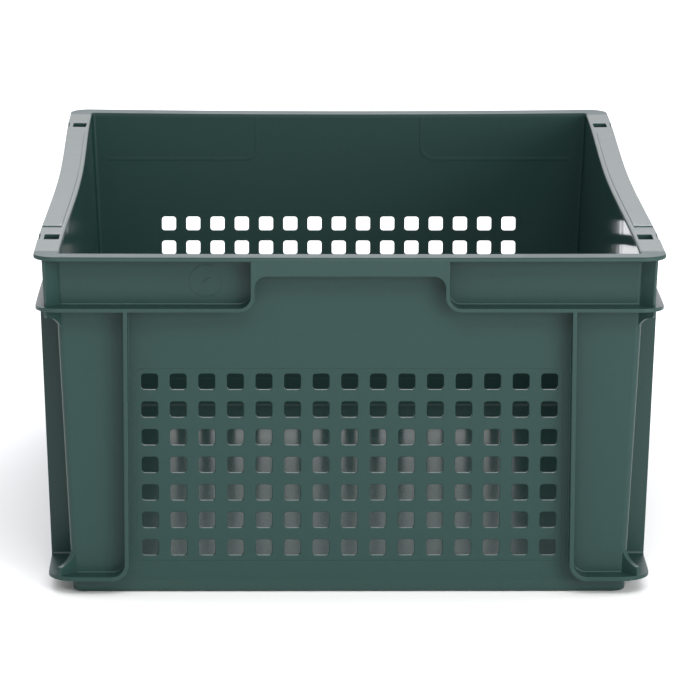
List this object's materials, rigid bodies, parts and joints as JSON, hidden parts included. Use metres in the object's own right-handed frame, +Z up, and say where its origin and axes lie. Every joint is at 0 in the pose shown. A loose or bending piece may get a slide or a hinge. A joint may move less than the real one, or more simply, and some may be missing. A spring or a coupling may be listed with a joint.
{
  "type": "stacking plastic crate",
  "caption": "Open-topped rectangular plastic stacking crate with perforated ends, solid base and long sides, ribbed flanges and hand-holds.",
  "frame": {"origin": "centre of the footprint, on the plane that the base stands on", "axes": "+Z up through the open mouth, +Y along the 600 mm length towards the rear end, +X along the 400 mm width to the right"},
  "size_m": [0.4, 0.6, 0.2218],
  "materials": {
    "shell": "semi-gloss moulded polypropylene, dark green",
    "rim": "semi-gloss moulded polypropylene, dark green, lightly scuffed",
    "ribbing": "satin moulded polypropylene, dark green"
  },
  "bodies": {
    "root": {"base_flange_front_left": "ribbing", "base_flange_front_right": "ribbing", "base_flange_left": "ribbing", "base_flange_rear_left": "ribbing", "base_flange_rear_right": "ribbing", "base_flange_right": "ribbing", "base_plate": "shell", "end_rib_front_left": "ribbing", "end_rib_front_right": "ribbing", "end_rib_rear_left": "ribbing", "end_rib_rear_right": "ribbing", "end_wall_front": "shell", "end_wall_rear": "shell", "grip_band_front_left": "ribbing", "grip_band_front_right": "ribbing", "grip_band_rear_left": "ribbing", "grip_band_rear_right": "ribbing", "grip_lip_front": "ribbing", "grip_lip_rear": "ribbing", "lower_gusset_front_left": "ribbing", "lower_gusset_front_right": "ribbing", "lower_gusset_rear_left": "ribbing", "lower_gusset_rear_right": "ribbing", "pocket_web_front_left": "ribbing", "pocket_web_front_right": "ribbing", "pocket_web_rear_left": "ribbing", "pocket_web_rear_right": "ribbing", "rim_front": "rim", "rim_left": "rim", "rim_rear": "rim", "rim_right": "rim", "shoulder_flange_front_left": "ribbing", "shoulder_flange_front_right": "ribbing", "shoulder_flange_left": "ribbing", "shoulder_flange_rear_left": "ribbing", "shoulder_flange_rear_right": "ribbing", "shoulder_flange_right": "ribbing", "side_rib_left_1": "ribbing", "side_rib_left_2": "ribbing", "side_rib_left_3": "ribbing", "side_rib_left_4": "ribbing", "side_rib_right_1": "ribbing", "side_rib_right_2": "ribbing", "side_rib_right_3": "ribbing", "side_rib_right_4": "ribbing", "side_wall_left": "shell", "side_wall_right": "shell", "upper_gusset_front_left": "ribbing", "upper_gusset_front_right": "ribbing", "upper_gusset_rear_left": "ribbing", "upper_gusset_rear_right": "ribbing", "wall_corner_front_left": "shell", "wall_corner_front_right": "shell", "wall_corner_rear_left": "shell", "wall_corner_rear_right": "shell"}
  },
  "joints": []
}
